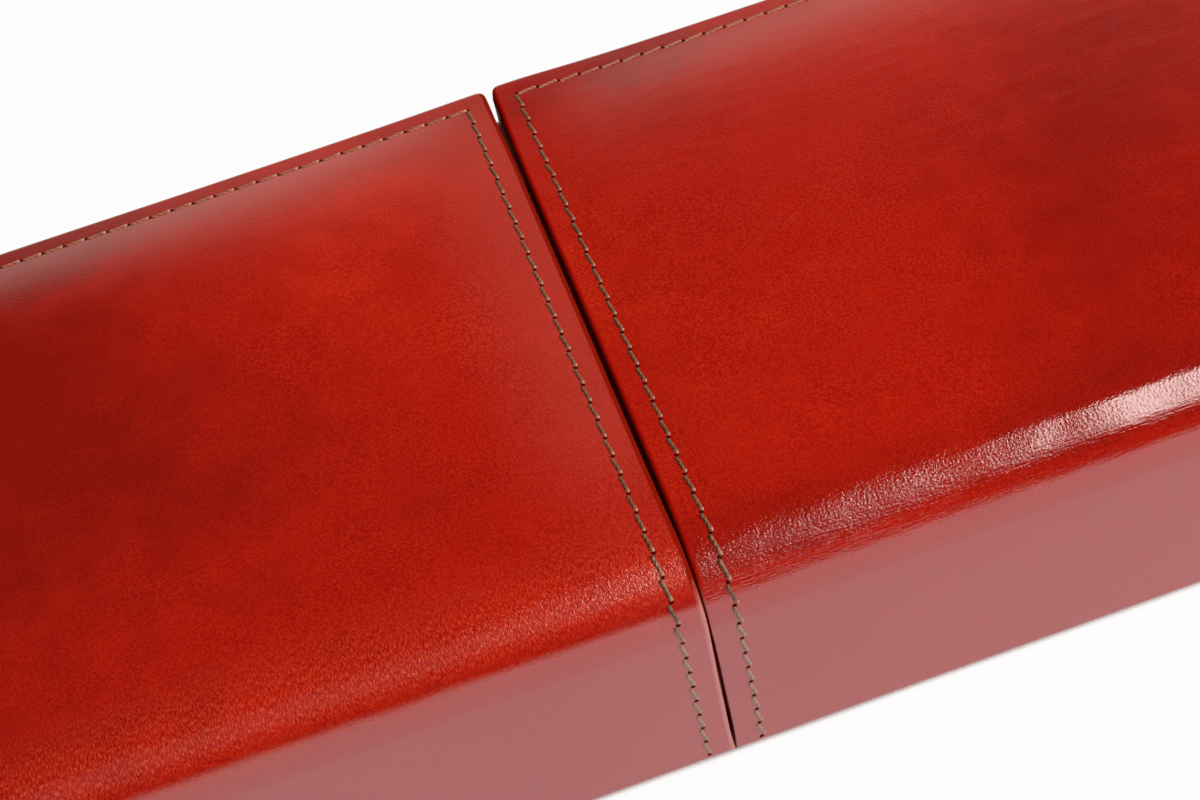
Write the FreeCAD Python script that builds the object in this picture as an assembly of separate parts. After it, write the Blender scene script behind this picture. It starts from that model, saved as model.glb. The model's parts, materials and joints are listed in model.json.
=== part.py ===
import FreeCAD, Part
import math
import os

# A two-part leather case for three fountain pens. The base carries a lined sleeve that stands
# out of its mouth, and the cap slides over that sleeve until the two mouths nearly meet.
# Millimetres. X runs along the case, with the cap at -X and the base at +X. Y runs across it,
# with the folded near side at -Y and the stitched seam at +Y. Z is up.
# The origin is at the middle of the underside of the closed case.

Vector = FreeCAD.Vector

# Outside of the closed case
case_length = 170.0
case_width = 76.0
case_height = 29.0
fold_radius = 7.4        # where each leather panel is rolled over its long edge
crisp_edge = 0.8         # flat across the turned seam along the near lower edge
mouth_x = -10.0          # middle of the gap between cap and base
mouth_gap = 0.6

# Thicknesses from the outside inwards
leather_t = 1.4
base_board_t = 1.05
cap_board_t = 0.8        # thinner, which leaves the cap its sliding clearance
cover_t = 0.5
sleeve_board_t = 0.9
suede_t = 0.5
end_board_t = 1.5
floor_t = 0.8
divider_t = 1.2

# Sleeve, dividers and linings
sleeve_reach = 38.0      # how far the sleeve stands out of the base's mouth
sleeve_corner = 2.0      # corner radius of the sleeve beside the two seams
least_corner = 0.6
shoulder_gap = 0.5       # between the sleeve's rim and the cap's liner
divider_setback = 12.0   # from the sleeve's rim to the dividers
rim_bevel = 0.35         # the sleeve's rim, under its cover's thickness
divider_front_bevel = 0.35
pen_count = 3

# Seams and closed ends
lap_setback = 0.3        # the upper panel's cut edge, back from the far side
turned_edge_radius = 1.0
tab_width = 8.0          # the far side's edge, turned in under the upper panel
facing_width = 8.0       # band inside each mouth
lap_corner = 1.0         # round corners of the lapped edge
end_recess = 1.2         # the end panels sit back from the panels' edges
end_flange = 3.7
cut_edge_bevel = 0.5     # pared and burnished edges at the mouths and ends
end_panel_bevel = 0.5

# Stitching
stitch_pitch = 2.5
stitch_length = 2.1
stitch_width = 0.5
stitch_slant = 10.0      # degrees from the row
stitch_margin = 2.6      # from a mouth or the lapped edge to the row
end_stitch_margin = 3.7
groove_width = 0.95
groove_depth = 0.42
thread_top = 0.06        # below the leather's surface
thread_bottom = 0.36

same_place = 1e-6        # how near a plane an edge counts as in it

# Places that follow from those sizes
near_y = -case_width / 2
far_y = case_width / 2
sleeve_inset = leather_t + base_board_t
sleeve_board_inset = sleeve_inset + cover_t
suede_inset = sleeve_board_inset + sleeve_board_t
pen_space_inset = suede_inset + suede_t
end_stack = end_recess + leather_t + end_board_t
pen_space_width = case_width - 2 * pen_space_inset
slot_width = (pen_space_width - (pen_count - 1) * divider_t) / pen_count
seam_row_y = far_y - lap_setback - stitch_margin


class Half:
    """The cap or the base, with places along X counted inwards from its mouth or its end."""

    def __init__(self, name, way, board_t):
        self.name = name
        self.way = way
        self.board_t = board_t
        self.mouth = mouth_x + way * mouth_gap / 2
        self.end = way * case_length / 2

    def from_mouth(self, distance):
        return self.mouth + self.way * distance

    def from_end(self, distance):
        return self.end - self.way * distance


base = Half("base", 1, base_board_t)
cap = Half("cap", -1, cap_board_t)
sleeve_rim = base.mouth - sleeve_reach


# Profiles across the case, and what is drawn along X from them

def rounded_wire(corners):
    """A closed wire in the YZ plane through (y, z, radius) corners."""
    points = [Vector(0, y, z) for y, z, radius in corners]
    starts, ends, arcs = [], [], []
    for i, (y, z, radius) in enumerate(corners):
        here = points[i]
        back = (points[i - 1] - here).normalize()
        ahead = (points[(i + 1) % len(points)] - here).normalize()
        if radius == 0:
            starts.append(here)
            ends.append(here)
            arcs.append(None)
            continue
        half_angle = back.getAngle(ahead) / 2
        inward = (back + ahead).normalize()
        start = here + back * (radius / math.tan(half_angle))
        end = here + ahead * (radius / math.tan(half_angle))
        middle = here + inward * (radius / math.sin(half_angle) - radius)
        starts.append(start)
        ends.append(end)
        arcs.append(Part.Arc(start, middle, end).toShape())
    edges = []
    for i, arc in enumerate(arcs):
        if arc:
            edges.append(arc)
        edges.append(Part.makeLine(ends[i], starts[(i + 1) % len(starts)]))
    return Part.Wire(edges)


def prism(corners, x_from, x_to):
    face = Part.Face(rounded_wire(corners))
    face.translate(Vector(min(x_from, x_to), 0, 0))
    return face.extrude(Vector(abs(x_to - x_from), 0, 0))


def outline(inset, seam_radius=0.0):
    """The case's section, moved inwards: two rolled corners and two seam corners."""
    roll = fold_radius - inset
    return [
        (far_y - inset, case_height - inset, seam_radius),
        (near_y + inset, case_height - inset, roll),
        (near_y + inset, inset, seam_radius),
        (far_y - inset, inset, roll),
    ]


def tube(outer_corners, inner_corners, x_from, x_to):
    return prism(outer_corners, x_from, x_to).cut(prism(inner_corners, x_from, x_to))


def sleeve_outline(inset):
    return outline(inset, max(least_corner, sleeve_corner - (inset - sleeve_inset)))


def box(x_from, x_to, y_from, y_to, z_from, z_to):
    corner = Vector(min(x_from, x_to), y_from, z_from)
    return Part.makeBox(abs(x_to - x_from), y_to - y_from, z_to - z_from, corner)


def edges_at(solid, x):
    """The edges that lie wholly in the plane at x."""
    return [edge for edge in solid.Edges
            if abs(edge.BoundBox.XMin - x) < same_place and abs(edge.BoundBox.XMax - x) < same_place]


# Stitch rows: where they run, the groove that they lie in and the stitches

def upper_run(distance):
    """Place and outward direction on the upper panel, counted from the lapped corner."""
    top = seam_row_y - near_y - fold_radius
    roll = fold_radius * math.pi / 2
    if distance <= top:
        return (seam_row_y - distance, case_height), (0.0, 1.0)
    if distance <= top + roll:
        turn = (distance - top) / fold_radius
        out = (-math.sin(turn), math.cos(turn))
        centre = (near_y + fold_radius, case_height - fold_radius)
        return (centre[0] + fold_radius * out[0], centre[1] + fold_radius * out[1]), out
    return (near_y, case_height - fold_radius - (distance - top - roll)), (-1.0, 0.0)


def lower_run(distance):
    """The same on the lower panel, which is the upper one turned half round about X."""
    (y, z), (out_y, out_z) = upper_run(distance)
    return (-y, case_height - z), (-out_y, -out_z)


def stitch(place, along, out):
    """One slanted stitch, arched from hole to hole, lying in the groove."""
    across = along.cross(out)
    half_foot = stitch_length / 2
    half_crown = half_foot - (thread_bottom - thread_top)
    profile = [(-half_foot, -thread_bottom), (-half_crown, -thread_top),
               (half_crown, -thread_top), (half_foot, -thread_bottom)]
    corners = [place + along * s + out * d - across * (stitch_width / 2) for s, d in profile]
    bar = Part.Face(Part.makePolygon(corners + corners[:1])).extrude(across * stitch_width)
    bar.rotate(place, out, stitch_slant)
    return bar


def loop_stitches(x):
    """A row right round the case at x, on the upper panel and then on the lower one."""
    run_length = seam_row_y - near_y - fold_radius + fold_radius * math.pi / 2 + case_height - fold_radius
    count = int((run_length - crisp_edge) / stitch_pitch)
    stitches = []
    for run in (upper_run, lower_run):
        for number in range(count):
            (y, z), (out_y, out_z) = run((number + 0.5) * stitch_pitch)
            along = Vector(0, out_z, -out_y)
            stitches.append(stitch(Vector(x, y, z), along, Vector(0, out_y, out_z)))
    return Part.makeCompound(stitches)


def seam_stitches(half):
    """The row along the lapped edge, between the mouth row and the end row."""
    first = half.from_mouth(stitch_margin)
    last = half.from_end(end_stitch_margin)
    count = int(abs(last - first) / stitch_pitch)
    along = Vector(half.way, 0, 0)
    stitches = []
    for number in range(count):
        x = first + half.way * (number + 0.5) * stitch_pitch
        stitches.append(stitch(Vector(x, seam_row_y, case_height), along, Vector(0, 0, 1)))
    return Part.makeCompound(stitches)


def loop_groove(x):
    inner = outline(groove_depth, least_corner)
    return tube(outline(0), inner, x - groove_width / 2, x + groove_width / 2)


def cut_grooves(panel, half):
    mouth_row = half.from_mouth(stitch_margin)
    end_row = half.from_end(end_stitch_margin)
    half_width = groove_width / 2
    seam = box(mouth_row, end_row, seam_row_y - half_width, seam_row_y + half_width,
               case_height - groove_depth, case_height)
    return panel.cut(loop_groove(mouth_row)).cut(loop_groove(end_row)).cut(seam)


# Leather outside

def pare_cut_edges(panel, half):
    """Trims a panel's mouth and end edges to the bevelled outside of its half."""
    outside = prism(outline(0), half.mouth, half.end)
    cut_edges = edges_at(outside, half.mouth) + edges_at(outside, half.end)
    return panel.common(outside.makeChamfer(cut_edge_bevel, cut_edges))


def lap_corner_waste(x, inwards):
    """What is cut off the lap at a mouth or an end to leave its corner round."""
    lap_y = far_y - lap_setback
    low_z = case_height - leather_t
    inside_x = x + inwards * lap_corner
    square = box(x, inside_x, lap_y - lap_corner, lap_y, low_z, case_height)
    kept = Part.makeCylinder(lap_corner, leather_t, Vector(inside_x, lap_y - lap_corner, low_z))
    return square.cut(kept)


def upper_panel(half):
    """Top and near side, rolled over the near edge. Its far edge is cut and laps the seam."""
    t = leather_t
    lap_y = far_y - lap_setback
    section = [
        (lap_y, case_height, cut_edge_bevel),
        (near_y, case_height, fold_radius),
        (near_y, crisp_edge, 0),
        (near_y + crisp_edge / 2, crisp_edge / 2, 0),
        (near_y + t, t, 0),
        (near_y + t, case_height - t, fold_radius - t),
        (lap_y, case_height - t, 0),
    ]
    panel = prism(section, half.mouth, half.end)
    panel = panel.cut(lap_corner_waste(half.mouth, half.way))
    panel = panel.cut(lap_corner_waste(half.end, -half.way))
    return cut_grooves(pare_cut_edges(panel, half), half)


def lower_panel(half):
    """Underside and far side, rolled over the far edge, with a tab turned in under the lap."""
    t = leather_t
    under_lap = case_height - t
    section = [
        (near_y + crisp_edge, 0, 0),
        (far_y, 0, fold_radius),
        (far_y, under_lap, turned_edge_radius),
        (far_y - t, under_lap, 0),
        (far_y - t, t, fold_radius - t),
        (near_y + t, t, 0),
        (near_y + crisp_edge / 2, crisp_edge / 2, 0),
    ]
    panel = prism(section, half.mouth, half.end)
    panel = cut_grooves(pare_cut_edges(panel, half), half)
    tab = box(half.from_mouth(facing_width), half.from_end(end_recess + end_flange),
              far_y - t - tab_width, far_y - t, under_lap - half.board_t, under_lap)
    return panel.fuse(tab).removeSplitter()


def end_panel(half):
    """A shallow leather tray, set into the panels with its flange pointing inwards."""
    face_x = half.from_end(end_recess)
    inside_x = half.from_end(end_recess + leather_t)
    rim_x = half.from_end(end_recess + end_flange)
    tray = prism(outline(leather_t, least_corner), face_x, rim_x)
    tray = tray.makeChamfer(end_panel_bevel, edges_at(tray, face_x))
    return tray.cut(prism(outline(leather_t + half.board_t, least_corner), inside_x, rim_x))


# Stiff inner pieces

def board_span(half):
    return half.from_mouth(facing_width), half.from_end(end_recess + end_flange)


def upper_board(half):
    """Stiffener bonded inside the upper panel and rolled with it."""
    t, b = leather_t, half.board_t
    tab_y = far_y - t - tab_width
    section = [
        (tab_y, case_height - t, 0),
        (near_y + t, case_height - t, fold_radius - t),
        (near_y + t, t + b, 0),
        (near_y + t + b, t + b, 0),
        (near_y + t + b, case_height - t - b, fold_radius - t - b),
        (tab_y, case_height - t - b, 0),
    ]
    return prism(section, *board_span(half))


def lower_board(half):
    """Stiffener bonded inside the lower panel. It stops under the turned tab."""
    t, b = leather_t, half.board_t
    section = [
        (near_y + t, t, 0),
        (far_y - t, t, fold_radius - t),
        (far_y - t, case_height - t - b, 0),
        (far_y - t - b, case_height - t - b, 0),
        (far_y - t - b, t + b, fold_radius - t - b),
        (near_y + t, t + b, 0),
    ]
    return prism(section, *board_span(half))


def mouth_facing(half):
    """The band inside a mouth that the mouth row is sewn through."""
    outer = outline(leather_t, least_corner)
    inner = outline(leather_t + half.board_t, least_corner)
    return tube(outer, inner, half.mouth, half.from_mouth(facing_width))


def end_board(half):
    corners = outline(leather_t + half.board_t, sleeve_corner)
    return prism(corners, half.from_end(end_recess + leather_t), half.from_end(end_stack))


def floor_lining(half):
    corners = sleeve_outline(pen_space_inset)
    return prism(corners, half.from_end(end_stack), half.from_end(end_stack + floor_t))


# The sleeve that joins the halves, and the cap's liner that carries on from it

def sleeve_cover():
    """Thin leather over the sleeve, turned over its rim."""
    hollow_x = sleeve_rim + cover_t
    cover = prism(sleeve_outline(sleeve_inset), sleeve_rim, base.from_end(end_stack))
    cover = cover.makeChamfer(rim_bevel, edges_at(cover, sleeve_rim))
    cover = cover.cut(prism(sleeve_outline(sleeve_board_inset), hollow_x, base.from_end(end_stack)))
    return cover.cut(prism(sleeve_outline(pen_space_inset), sleeve_rim, hollow_x))


def sleeve_layer(inset_from, inset_to):
    span = (sleeve_rim + cover_t, base.from_end(end_stack))
    return tube(sleeve_outline(inset_from), sleeve_outline(inset_to), *span)


def pen_divider(side):
    """A suede-faced wall between two pen slots, with its front edge bevelled."""
    front_x = sleeve_rim + divider_setback
    middle_y = side * (slot_width + divider_t) / 2
    wall = box(front_x, base.from_end(end_stack + floor_t), middle_y - divider_t / 2,
               middle_y + divider_t / 2, pen_space_inset, case_height - pen_space_inset)
    upright = [edge for edge in edges_at(wall, front_x) if edge.BoundBox.ZLength > divider_t]
    return wall.makeChamfer(divider_front_bevel, upright)


def cap_liner(inset_from, inset_to):
    """Carries the sleeve's inside on to the cap's end, and stops the sleeve's rim."""
    span = (cap.from_end(end_stack), sleeve_rim - shoulder_gap)
    return tube(sleeve_outline(inset_from), sleeve_outline(inset_to), *span)


def half_pieces(half):
    return {
        "upper_panel": upper_panel(half),
        "lower_panel": lower_panel(half),
        "end_panel": end_panel(half),
        "upper_board": upper_board(half),
        "lower_board": lower_board(half),
        "mouth_facing": mouth_facing(half),
        "end_board": end_board(half),
        "floor_lining": floor_lining(half),
        "mouth_thread": loop_stitches(half.from_mouth(stitch_margin)),
        "end_thread": loop_stitches(half.from_end(end_stitch_margin)),
        "seam_thread": seam_stitches(half),
    }


def all_pieces():
    pieces = {}
    for half in (base, cap):
        for name, shape in half_pieces(half).items():
            pieces[half.name + "_" + name] = shape
    pieces["sleeve_cover"] = sleeve_cover()
    pieces["sleeve_board"] = sleeve_layer(sleeve_board_inset, suede_inset)
    pieces["sleeve_lining"] = sleeve_layer(suede_inset, pen_space_inset)
    pieces["pen_divider_near"] = pen_divider(-1)
    pieces["pen_divider_far"] = pen_divider(1)
    pieces["cap_liner"] = cap_liner(leather_t + cap_board_t, suede_inset)
    pieces["cap_lining"] = cap_liner(suede_inset, pen_space_inset)
    return pieces


os.makedirs("parts", exist_ok=True)
for name, shape in all_pieces().items():
    shape.exportStep("parts/" + name + ".step")
    print(name, len(shape.Solids), "solids", round(shape.Volume, 1), "mm3", "valid", shape.isValid())
print("slot width", round(slot_width, 2), "slot height", case_height - 2 * pen_space_inset)
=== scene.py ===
# %% [markdown]
# # A stitched leather case for fountain pens
# The case is two stiff boxes covered in glossy red calf: a base with a lined sleeve standing out of
# its mouth, and a cap that slides over that sleeve. The construction is already packed as a frame, so
# this lesson starts by loading it. From there on every piece is made where the frame says it is, in
# metres, and the box of the frame is printed in millimetres.

# %% Load the construction
import json
import math

import bmesh
import bpy
from mathutils import Matrix, Vector, noise


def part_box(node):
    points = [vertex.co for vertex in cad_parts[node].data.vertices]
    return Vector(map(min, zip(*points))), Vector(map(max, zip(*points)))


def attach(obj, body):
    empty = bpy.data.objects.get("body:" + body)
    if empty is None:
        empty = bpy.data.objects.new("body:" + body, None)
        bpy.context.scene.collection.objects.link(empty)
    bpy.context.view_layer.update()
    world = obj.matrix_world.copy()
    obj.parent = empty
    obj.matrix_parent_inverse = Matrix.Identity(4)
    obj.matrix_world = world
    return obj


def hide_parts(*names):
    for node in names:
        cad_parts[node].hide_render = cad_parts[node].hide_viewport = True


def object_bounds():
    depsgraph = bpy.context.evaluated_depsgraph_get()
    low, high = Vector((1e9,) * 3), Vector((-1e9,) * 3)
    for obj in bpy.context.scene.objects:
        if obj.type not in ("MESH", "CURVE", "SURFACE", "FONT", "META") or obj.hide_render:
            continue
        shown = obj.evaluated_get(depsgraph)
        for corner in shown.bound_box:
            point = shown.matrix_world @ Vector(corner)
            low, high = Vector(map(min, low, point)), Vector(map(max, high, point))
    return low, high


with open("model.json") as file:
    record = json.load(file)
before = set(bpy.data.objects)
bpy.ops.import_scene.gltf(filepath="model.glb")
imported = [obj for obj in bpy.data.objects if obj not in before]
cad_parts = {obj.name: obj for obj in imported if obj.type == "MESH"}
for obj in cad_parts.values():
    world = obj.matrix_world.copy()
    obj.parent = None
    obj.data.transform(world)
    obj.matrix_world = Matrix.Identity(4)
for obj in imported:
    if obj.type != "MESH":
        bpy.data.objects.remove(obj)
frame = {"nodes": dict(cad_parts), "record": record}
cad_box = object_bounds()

mm = 0.001
print("frame box in mm", [[round(value / mm, 1) for value in corner] for corner in cad_box])

# %% [markdown]
# ## Reading sizes from the frame
# A maker measures the carcass before cutting leather for it. The same is done here: the ends, the
# mouths and the stitch rows are read from the boxes of the frame's nodes, so a new pack of the frame
# moves everything that is drawn on it. Only what a box can't tell, such as a radius, is typed in.

# %% Measure the two halves
near_y = cad_box[0][1]
far_y = cad_box[1][1]
top_z = cad_box[1][2]
fold_radius = 7.4 * mm
leather_t = 1.4 * mm
seam_flat = 0.4 * mm       # the mitred seam along the near lower edge stops this far from the corner


class Half:
    """The cap or the base: which way it points, where it opens and where its rows of stitches are."""

    def __init__(self, name, way):
        low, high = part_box(name + "_upper_panel")
        self.name = name
        self.way = way
        self.mouth = low[0] if way > 0 else high[0]
        self.end = high[0] if way > 0 else low[0]
        self.lap_y = high[1]
        self.mouth_row = abs(middle_of(name + "_mouth_thread", 0) - self.mouth)
        self.end_row = abs(middle_of(name + "_end_thread", 0) - self.end)
        self.seam_y = middle_of(name + "_seam_thread", 1)
        self.length = abs(self.end - self.mouth)


def middle_of(node, axis):
    low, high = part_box(node)
    return (low[axis] + high[axis]) / 2


base = Half("base", 1)
cap = Half("cap", -1)
for half in (base, cap):
    print(half.name, "is", round(half.length / mm, 1), "mm long, mouth row",
          round(half.mouth_row / mm, 2), "mm from its edge")

# %% [markdown]
# ## Working by hand without a window
# A modeller clicks on edges and faces and then calls a tool. A script picks them by where they are
# instead. These helpers start a piece, pick edges or faces with a test, and settle the piece with its
# place in its mesh.

# %% Helpers for picking and settling
def start_editing():
    """Edit mode on the piece just added, with nothing picked."""
    bpy.ops.object.transform_apply(location=True, rotation=True, scale=True)
    bpy.ops.object.mode_set(mode="EDIT")
    bpy.ops.mesh.select_all(action="DESELECT")
    return bpy.context.object


def pick_edges(piece, test):
    bpy.ops.mesh.select_mode(type="EDGE")
    bpy.ops.mesh.select_all(action="DESELECT")
    shape = bmesh.from_edit_mesh(piece.data)
    chosen = [edge for edge in shape.edges if test(edge.verts[0].co, edge.verts[1].co)]
    for edge in chosen:
        edge.select_set(True)
    bmesh.update_edit_mesh(piece.data)
    return len(chosen)


def pick_faces(piece, test):
    bpy.ops.mesh.select_mode(type="FACE")
    bpy.ops.mesh.select_all(action="DESELECT")
    shape = bmesh.from_edit_mesh(piece.data)
    chosen = [face for face in shape.faces if test(face.calc_center_median(), face.normal)]
    for face in chosen:
        face.select_set(True)
    bmesh.update_edit_mesh(piece.data)
    return len(chosen)


def pick_corners(piece, test):
    bpy.ops.mesh.select_mode(type="VERT")
    bpy.ops.mesh.select_all(action="DESELECT")
    shape = bmesh.from_edit_mesh(piece.data)
    for corner in shape.verts:
        if test(corner.co):
            corner.select_set(True)
    bmesh.update_edit_mesh(piece.data)


def settle(piece, name, smooth_angle):
    """Back to object mode, named, with edges blunter than the angle shaded smooth."""
    bpy.ops.object.mode_set(mode="OBJECT")
    piece.name = name
    piece.data.name = name
    bpy.ops.object.select_all(action="DESELECT")
    piece.select_set(True)
    bpy.context.view_layer.objects.active = piece
    bpy.ops.object.shade_smooth_by_angle(angle=math.radians(smooth_angle))
    triangles = sum(len(face.vertices) - 2 for face in piece.data.polygons)
    print(name, "has", triangles, "triangles")


near_enough = 0.02 * mm


def same(a, b):
    return abs(a - b) < near_enough


# %% [markdown]
# ## Cutting a leather panel
# Each half is covered by two panels bent into an L. The upper one covers the top and rolls over the
# near edge, the lower one covers the underside and rolls over the far edge. A panel could be drawn as
# a curved sheet at once, but bending a plane is closer to the bench: a flat plane is extruded down at
# its edge, the fold is a bevel with many segments, and bisect and subdivide then add the rows of
# vertices that the shaping needs, close together where stitches pull the leather in.

# %% Lay out a panel's strips
class Strip:
    """A stretch of a panel between two places, and how many rows of faces it gets."""

    def __init__(self, start, stop, rows):
        self.start = min(start, stop)
        self.stop = max(start, stop)
        self.rows = rows


pared_width = 0.8 * mm     # how far from a mouth or an end the leather starts to thin
row_width = 0.9 * mm       # half of the stretch that a stitch row pulls in
fold_rows = 26
smooth_step = 0.85 * mm    # between rows where nothing is sewn


def strips_between(places, rows_by_place):
    return [Strip(places[i], places[i + 1], rows) for i, rows in enumerate(rows_by_place)]


def rows_for(distance):
    return max(2, round(abs(distance) / smooth_step))


def strips_along(half):
    """Along X: pared edge, mouth row, the plain stretch, end row, pared edge."""
    def place(distance):
        return half.mouth + half.way * distance

    row, end_row = half.mouth_row, half.length - half.end_row
    distances = [0, pared_width, row - row_width, row + row_width,
                 end_row - row_width, end_row + row_width, half.length - pared_width, half.length]
    plain = rows_for(end_row - row)
    return strips_between([place(d) for d in distances], [10, 4, 10, plain, 10, 4, 10])


# %% Bend and divide a panel
def divide(piece, axis, strips, test):
    """Cuts a panel at the strips' borders, then divides each strip into its rows."""
    normal = [0, 0, 0]
    normal[axis] = 1
    strips = sorted(strips, key=lambda strip: strip.start)
    for strip in strips[1:]:
        bpy.ops.mesh.select_all(action="SELECT")
        border = [0, 0, 0]
        border[axis] = strip.start
        if test is None:
            bpy.ops.mesh.bisect(plane_co=border, plane_no=normal)
        else:
            pick_faces(piece, lambda middle, out: test(middle))
            bpy.ops.mesh.bisect(plane_co=border, plane_no=normal)
    for strip in strips:
        def inside(a, b, strip=strip):
            low, high = sorted((a[axis], b[axis]))
            within = strip.start - near_enough < low and high < strip.stop + near_enough
            return within and not same(low, high) and (test is None or test((a + b) / 2))
        pick_edges(piece, inside)
        bpy.ops.mesh.subdivide(number_cuts=strip.rows - 1)


def bent_panel(half, flat_end, side_end):
    """An L-shaped sheet: flat from flat_end to the fold, then down to side_end."""
    bpy.ops.object.select_all(action="DESELECT")
    middle = ((half.mouth + half.end) / 2, (flat_end + near_y) / 2, top_z)
    bpy.ops.mesh.primitive_plane_add(size=1, location=middle)
    bpy.context.object.scale = (half.length, flat_end - near_y, 1)
    piece = start_editing()
    pick_edges(piece, lambda a, b: same(a.y, near_y) and same(b.y, near_y))
    bpy.ops.mesh.extrude_region_move(TRANSFORM_OT_translate={"value": (0, 0, side_end - top_z)})
    pick_edges(piece, lambda a, b: same(a.y, near_y) and same(b.y, near_y) and same(a.z, top_z) and same(b.z, top_z))
    bpy.ops.mesh.bevel(offset=fold_radius, segments=fold_rows, profile=0.5, affect="EDGES", clamp_overlap=False)

    fold_y = near_y + fold_radius
    fold_z = top_z - fold_radius
    divide(piece, 0, strips_along(half), None)
    seam_strip = [flat_end, flat_end - pared_width, half.seam_y - row_width, fold_y]
    top_strips = [Strip(seam_strip[0], seam_strip[1], 9), Strip(seam_strip[1], seam_strip[2], 10),
                  Strip(seam_strip[2], fold_y, rows_for(seam_strip[2] - fold_y))]
    divide(piece, 1, top_strips, lambda point: same(point.z, top_z))
    side_strips = [Strip(side_end, side_end + pared_width, 9),
                   Strip(side_end + pared_width, fold_z, rows_for(fold_z - side_end))]
    divide(piece, 2, side_strips, lambda point: same(point.y, near_y))
    bpy.ops.mesh.select_all(action="SELECT")
    bpy.ops.mesh.remove_doubles(threshold=near_enough / 10)
    bpy.ops.mesh.normals_make_consistent(inside=False)
    bpy.ops.object.mode_set(mode="OBJECT")
    return piece


# %% Give the panel its thickness
def thicken(piece):
    """A wall inwards from the outside skin, with its cut edges in a finish of their own."""
    wall = piece.modifiers.new("leather", "SOLIDIFY")
    wall.thickness = leather_t
    wall.offset = -1
    wall.use_even_offset = True
    wall.material_offset_rim = 1
    bpy.context.view_layer.objects.active = piece
    bpy.ops.object.modifier_apply(modifier=wall.name)


# %% [markdown]
# ## Shaping the leather
# Flat, even leather looks like painted sheet metal. On the case it is drawn down along every row of
# stitches, swells a little between them over the padding, is pared thin and burnished round at its cut
# edges, and ripples where it was rolled over the fold. Sculpting that by hand would be slow to repeat,
# so each vertex of the outer skin is moved along its own outward direction by a sum of small terms.
# The flat hide's millimetres are kept as a UV map first, for the finish to find the stitch holes.

# %% Find places on the bent sheet
def run_and_out(half, y, z):
    """How far along the bent sheet a place is, from the seam row, and which way is out."""
    fold_y = near_y + fold_radius
    fold_z = top_z - fold_radius
    top_length = half.seam_y - fold_y
    if y >= fold_y:
        return half.seam_y - y, Vector((0, 0, 1))
    if z >= fold_z:
        turn = math.atan2(fold_y - y, z - fold_z)
        return top_length + turn * fold_radius, Vector((0, -math.sin(turn), math.cos(turn)))
    return top_length + fold_radius * math.pi / 2 + fold_z - z, Vector((0, -1, 0))


def on_skin(y, z):
    fold_y = near_y + fold_radius
    fold_z = top_z - fold_radius
    if y >= fold_y:
        return same(z, top_z)
    if z >= fold_z:
        return same(math.hypot(y - fold_y, z - fold_z), fold_radius)
    return same(y, near_y)


def ease(value):
    """0 below 0, 1 above 1, and a smooth step between."""
    value = min(1, max(0, value))
    return value * value * (3 - 2 * value)


def pared(distance, width, depth):
    """How far a cut edge drops: a quarter ellipse from the surface down to the edge."""
    if distance >= width:
        return 0
    across = min(1, (width - distance) / width)
    return depth * (1 - math.sqrt(max(0, 1 - across * across)))


def dip(distance, width):
    return math.exp(-(distance / width) ** 2)


# %% Move the skin
row_dip_depth = 0.006 * mm
row_dip_width = 0.5 * mm
crown = {"base": 0.5 * mm, "cap": 0.66 * mm}            # the middle of the top, above the frame's panel
far_sink = {"base": 0.42 * mm, "cap": 0.33 * mm}        # the far seam, drawn down below it
far_reach = {"base": 6.2 * mm, "cap": 5.6 * mm}
far_ease = {"base": 1.3, "cap": 1.05}
sink_at_mouth = {"base": 0.05, "cap": 0.45}             # the share of that sink beside the mouth's stitches
loop_reach = {"base": 5.5 * mm, "cap": 7.0 * mm}
slack_at_mouth = {"base": 2.5, "cap": 0.0}              # how much longer the far slope is beside the mouth
margin_falls = {"base": 0.0, "cap": 0.6}                # whether the margin goes on falling to the mouth's edge


def padding(half, run, from_mouth, from_end):
    """The top's swell: steepest beside the far seam, slight beside the loops of stitches."""
    fold_start = half.seam_y - near_y - fold_radius
    fade = 1 - ease((run - fold_start + 14 * mm) / (14 * mm + fold_radius * math.pi / 2))
    from_row = from_mouth - half.mouth_row
    reach = far_reach[half.name] * (1 + slack_at_mouth[half.name] * math.exp(-max(0, from_row) / (4 * mm)))
    from_far = 1 - math.exp(-(run / reach) ** far_ease[half.name]) if run > 0 else 0.3 * run / reach
    from_loop = 1 - math.exp(-max(0, from_row) / loop_reach[half.name])
    from_end_loop = 1 - math.exp(-max(0, from_end - half.end_row) / loop_reach[half.name])
    falls = margin_falls[half.name] * min(0, from_row) / loop_reach[half.name]
    falls *= ease((fold_start - run) / (12 * mm))
    swell = crown[half.name] * (from_loop * from_end_loop + falls)
    share = sink_at_mouth[half.name]
    sink = far_sink[half.name] * (share + (1 - share) * from_loop ** 2)
    return fade * (from_far * (swell + sink) - sink)


def ripple(half, x, run):
    """Slow unevenness of the top, stronger where the leather is rolled over the fold."""
    fold_middle = half.seam_y - near_y - fold_radius + fold_radius * math.pi / 4
    on_fold = math.exp(-((run - fold_middle) / (7 * mm)) ** 2)
    slow = noise.noise(Vector((x / (24 * mm), run / (24 * mm), half.way)))
    lumps = noise.noise(Vector((x / (9 * mm), run / (14 * mm), 5 + half.way)))
    return 0.05 * mm * slow + 0.13 * mm * on_fold * lumps


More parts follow.
